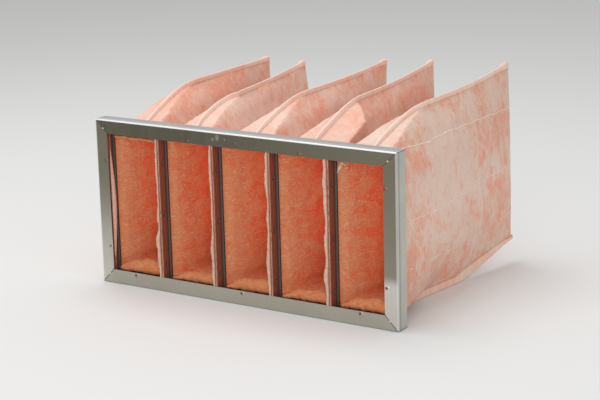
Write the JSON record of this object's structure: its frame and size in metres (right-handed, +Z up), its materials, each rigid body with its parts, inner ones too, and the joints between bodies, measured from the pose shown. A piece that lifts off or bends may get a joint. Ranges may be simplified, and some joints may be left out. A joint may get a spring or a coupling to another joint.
{
  "type": "bag air filter",
  "caption": "Ventilation bag filter: tapering sewn pockets of fibrous medium, held open by steel retainers in a mitred sheet-metal header frame.",
  "frame": {"origin": "middle of the header's underside, halfway through its depth, on the ground", "axes": "+X along the header to the right as seen from the air's entry side, +Y the way the air flows into the pockets, +Z up"},
  "size_m": [0.592, 0.4457, 0.3582],
  "materials": {
    "header_sheet": "satin",
    "retainer_steel": "satin",
    "filter_medium": "matte",
    "staple_wire": "satin"
  },
  "bodies": {
    "root": {"header_top": "header_sheet", "header_bottom": "header_sheet", "header_left": "header_sheet", "header_right": "header_sheet", "pocket_retainer_1": "retainer_steel", "pocket_retainer_2": "retainer_steel", "pocket_retainer_3": "retainer_steel", "pocket_retainer_4": "retainer_steel", "pocket_retainer_5": "retainer_steel", "pocket_1": "filter_medium", "pocket_2": "filter_medium", "pocket_3": "filter_medium", "pocket_4": "filter_medium", "pocket_5": "filter_medium", "retainer_staple_1_1": "staple_wire", "retainer_staple_1_2": "staple_wire", "retainer_staple_1_3": "staple_wire", "retainer_staple_2_1": "staple_wire", "retainer_staple_2_2": "staple_wire", "retainer_staple_2_3": "staple_wire", "retainer_staple_3_1": "staple_wire", "retainer_staple_3_2": "staple_wire", "retainer_staple_3_3": "staple_wire", "retainer_staple_4_1": "staple_wire", "retainer_staple_4_2": "staple_wire", "retainer_staple_4_3": "staple_wire"}
  },
  "joints": []
}
